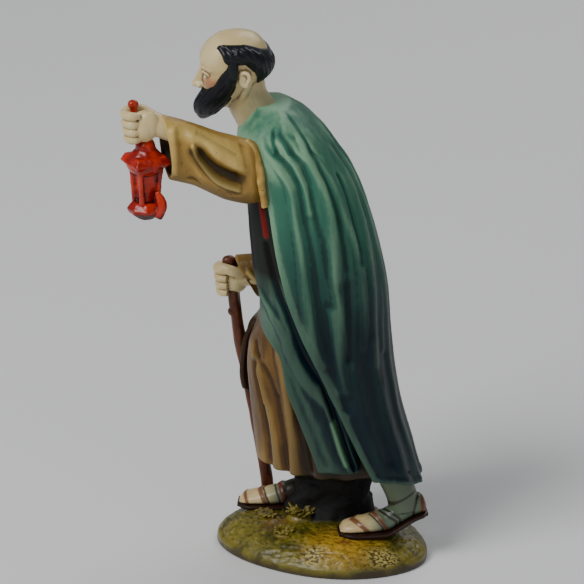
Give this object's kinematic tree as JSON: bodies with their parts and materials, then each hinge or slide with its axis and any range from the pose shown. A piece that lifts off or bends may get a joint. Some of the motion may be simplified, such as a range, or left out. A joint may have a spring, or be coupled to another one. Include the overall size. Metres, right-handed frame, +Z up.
{
  "type": "nativity shepherd figurine",
  "caption": "Painted cast figurine of an old bearded traveller in tunic and mantle, leaning forward with a raised lantern and a walking staff, on a small mound of ground.",
  "frame": {"origin": "under the figure, at the middle of the flat underside of its ground", "axes": "+Z up, -Y the way the figure walks, +X its left side, where the lantern is"},
  "size_m": [0.0378, 0.0638, 0.1143],
  "materials": {
    "painted_casting": "cast resin under gloss paint, the mantle's dark teal",
    "cloak_paint": "dark teal gloss paint, pale green brushed over the ridges",
    "tunic_paint": "ochre paint with a brown wash in the folds",
    "skin_paint": "cream skin paint with a warm blush and a brown wash",
    "hair_paint": "blue-black gloss paint",
    "lantern_paint": "orange-red gloss paint with dark red shadows",
    "staff_paint": "red-brown gloss paint",
    "ground_paint": "olive, ochre and brown gloss paint, brushed together"
  },
  "bodies": {
    "root": {"shepherd_figurine": "painted_casting"}
  },
  "joints": []
}
